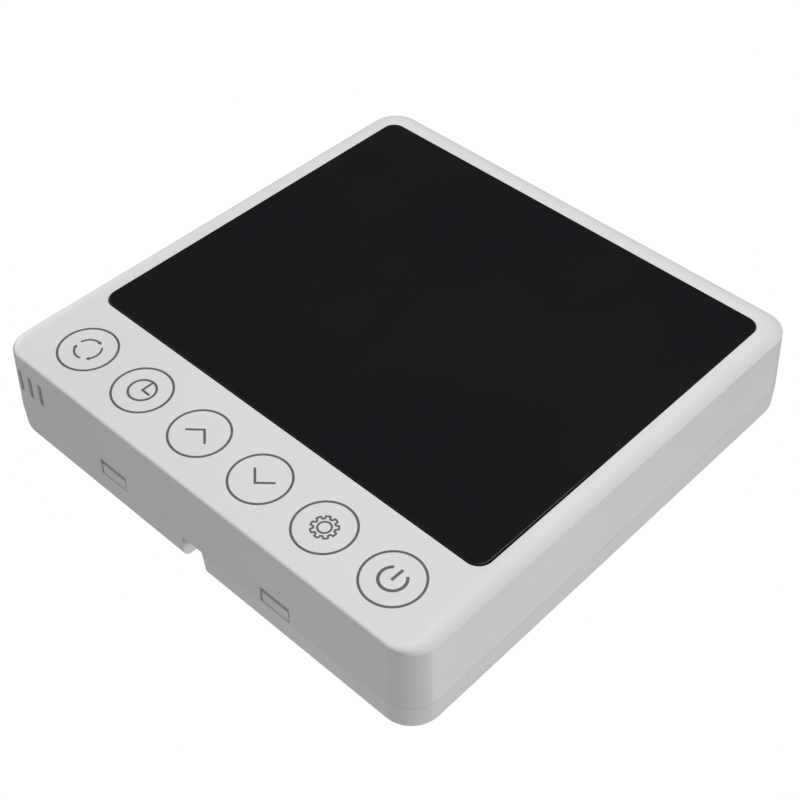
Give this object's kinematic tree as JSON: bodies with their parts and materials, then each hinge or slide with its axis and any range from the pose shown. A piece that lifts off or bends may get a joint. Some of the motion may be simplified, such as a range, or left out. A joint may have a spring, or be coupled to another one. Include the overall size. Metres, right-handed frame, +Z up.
{
  "type": "wall thermostat",
  "caption": "Square wall thermostat with a large dark display window and a row of round touch keys, on a wall plate with screw terminals.",
  "frame": {"origin": "centre of the wall plate's flat back face, which lies on the wall", "axes": "+Z up the wall, +X to the right seen from the room, -Y out of the wall towards the room"},
  "size_m": [0.12, 0.0237, 0.12],
  "materials": {
    "white_plastic": "fine matte moulded grain",
    "lens_black": "polished, back-printed black",
    "key_print": "dark grey pad print",
    "black_plastic": "satin",
    "foam_tape": "matte",
    "lcd_glass": "polished",
    "milky_plastic": "translucent, polished",
    "silver_film": "mirror-bright film",
    "elastomer": "matte",
    "circuit_board": "green solder mask",
    "terminal_plastic": "satin",
    "plated_brass": "plated, satin",
    "steel": "zinc-plated, satin",
    "thermistor_epoxy": "dipped epoxy"
  },
  "bodies": {
    "wall_assembly": {"wall_plate": "white_plastic", "terminal_board": "circuit_board", "pin_header": "black_plastic", "terminal_block_left": "terminal_plastic", "terminal_block_right": "terminal_plastic"},
    "front_unit": {"front_housing": "white_plastic", "display_lens": "lens_black", "lens_adhesive": "foam_tape", "lcd_glass": "lcd_glass", "lcd_frame": "black_plastic", "diffuser_sheet": "milky_plastic", "light_guide": "milky_plastic", "reflector_sheet": "silver_film", "backlight_led_strip": "milky_plastic", "zebra_strip_top": "elastomer", "zebra_strip_bottom": "elastomer", "main_board": "circuit_board", "microcontroller": "black_plastic", "touch_controller": "black_plastic", "buzzer": "black_plastic", "capacitor": "steel", "signal_relay_1": "black_plastic", "signal_relay_2": "black_plastic", "signal_relay_3": "black_plastic", "coin_cell_holder": "black_plastic", "coin_cell": "steel", "thermistor": "thermistor_epoxy", "header_socket": "black_plastic", "touch_spring_1": "plated_brass", "touch_spring_2": "plated_brass", "touch_spring_3": "plated_brass", "touch_spring_4": "plated_brass", "touch_spring_5": "plated_brass", "touch_spring_6": "plated_brass", "board_screw_left": "steel", "board_screw_right": "steel", "rear_cover": "white_plastic", "rear_cover_screw_1": "steel", "rear_cover_screw_2": "steel", "rear_cover_screw_3": "steel", "rear_cover_screw_4": "steel"},
    "tab_left": {"release_tab_left": "white_plastic"},
    "tab_right": {"release_tab_right": "white_plastic"},
    "screw_1": {"terminal_screw_1": "steel"},
    "cage_1": {"terminal_cage_1": "plated_brass"},
    "screw_2": {"terminal_screw_2": "steel"},
    "cage_2": {"terminal_cage_2": "plated_brass"},
    "screw_3": {"terminal_screw_3": "steel"},
    "cage_3": {"terminal_cage_3": "plated_brass"},
    "screw_4": {"terminal_screw_4": "steel"},
    "cage_4": {"terminal_cage_4": "plated_brass"},
    "screw_5": {"terminal_screw_5": "steel"},
    "cage_5": {"terminal_cage_5": "plated_brass"},
    "screw_6": {"terminal_screw_6": "steel"},
    "cage_6": {"terminal_cage_6": "plated_brass"},
    "screw_7": {"terminal_screw_7": "steel"},
    "cage_7": {"terminal_cage_7": "plated_brass"},
    "screw_8": {"terminal_screw_8": "steel"},
    "cage_8": {"terminal_cage_8": "plated_brass"}
  },
  "joints": [
    {"name": "front_tilt", "type": "hinge", "parent": "wall_assembly", "child": "front_unit", "pos_m": [0, -0.0071, 0.06], "axis": [-1, 0, 0], "range_deg": [0, 20]},
    {"name": "tab_left_press", "type": "hinge", "parent": "wall_assembly", "child": "tab_left", "pos_m": [-0.024, -0.0029, -0.05685], "axis": [-1, 0, 0], "range_deg": [0, 6], "stiffness_Nm_per_rad": 0.25},
    {"name": "tab_right_press", "type": "hinge", "parent": "wall_assembly", "child": "tab_right", "pos_m": [0.024, -0.0029, -0.05685], "axis": [-1, 0, 0], "range_deg": [0, 6], "stiffness_Nm_per_rad": 0.25},
    {"name": "screw_1_turn", "type": "hinge", "parent": "wall_assembly", "child": "screw_1", "pos_m": [-0.02012, -0.0101, -0.015], "axis": [0, 1, 0], "range_deg": [0, 1080]},
    {"name": "cage_1_lift", "type": "slide", "parent": "wall_assembly", "child": "cage_1", "axis": [0, -1, 0], "range_m": [0, 0.00135]},
    {"name": "screw_2_turn", "type": "hinge", "parent": "wall_assembly", "child": "screw_2", "pos_m": [-0.01504, -0.0101, -0.015], "axis": [0, 1, 0], "range_deg": [0, 1080]},
    {"name": "cage_2_lift", "type": "slide", "parent": "wall_assembly", "child": "cage_2", "axis": [0, -1, 0], "range_m": [0, 0.00135]},
    {"name": "screw_3_turn", "type": "hinge", "parent": "wall_assembly", "child": "screw_3", "pos_m": [-0.00996, -0.0101, -0.015], "axis": [0, 1, 0], "range_deg": [0, 1080]},
    {"name": "cage_3_lift", "type": "slide", "parent": "wall_assembly", "child": "cage_3", "axis": [0, -1, 0], "range_m": [0, 0.00135]},
    {"name": "screw_4_turn", "type": "hinge", "parent": "wall_assembly", "child": "screw_4", "pos_m": [-0.00488, -0.0101, -0.015], "axis": [0, 1, 0], "range_deg": [0, 1080]},
    {"name": "cage_4_lift", "type": "slide", "parent": "wall_assembly", "child": "cage_4", "axis": [0, -1, 0], "range_m": [0, 0.00135]},
    {"name": "screw_5_turn", "type": "hinge", "parent": "wall_assembly", "child": "screw_5", "pos_m": [0.00488, -0.0101, -0.015], "axis": [0, 1, 0], "range_deg": [0, 1080]},
    {"name": "cage_5_lift", "type": "slide", "parent": "wall_assembly", "child": "cage_5", "axis": [0, -1, 0], "range_m": [0, 0.00135]},
    {"name": "screw_6_turn", "type": "hinge", "parent": "wall_assembly", "child": "screw_6", "pos_m": [0.00996, -0.0101, -0.015], "axis": [0, 1, 0], "range_deg": [0, 1080]},
    {"name": "cage_6_lift", "type": "slide", "parent": "wall_assembly", "child": "cage_6", "axis": [0, -1, 0], "range_m": [0, 0.00135]},
    {"name": "screw_7_turn", "type": "hinge", "parent": "wall_assembly", "child": "screw_7", "pos_m": [0.01504, -0.0101, -0.015], "axis": [0, 1, 0], "range_deg": [0, 1080]},
    {"name": "cage_7_lift", "type": "slide", "parent": "wall_assembly", "child": "cage_7", "axis": [0, -1, 0], "range_m": [0, 0.00135]},
    {"name": "screw_8_turn", "type": "hinge", "parent": "wall_assembly", "child": "screw_8", "pos_m": [0.02012, -0.0101, -0.015], "axis": [0, 1, 0], "range_deg": [0, 1080]},
    {"name": "cage_8_lift", "type": "slide", "parent": "wall_assembly", "child": "cage_8", "axis": [0, -1, 0], "range_m": [0, 0.00135]}
  ],
  "couplings": [
    {"joint": "screw_1_turn", "follows": "cage_1_lift", "rad_per_m": 13963},
    {"joint": "screw_2_turn", "follows": "cage_2_lift", "rad_per_m": 13963},
    {"joint": "screw_3_turn", "follows": "cage_3_lift", "rad_per_m": 13963},
    {"joint": "screw_4_turn", "follows": "cage_4_lift", "rad_per_m": 13963},
    {"joint": "screw_5_turn", "follows": "cage_5_lift", "rad_per_m": 13963},
    {"joint": "screw_6_turn", "follows": "cage_6_lift", "rad_per_m": 13963},
    {"joint": "screw_7_turn", "follows": "cage_7_lift", "rad_per_m": 13963},
    {"joint": "screw_8_turn", "follows": "cage_8_lift", "rad_per_m": 13963}
  ]
}
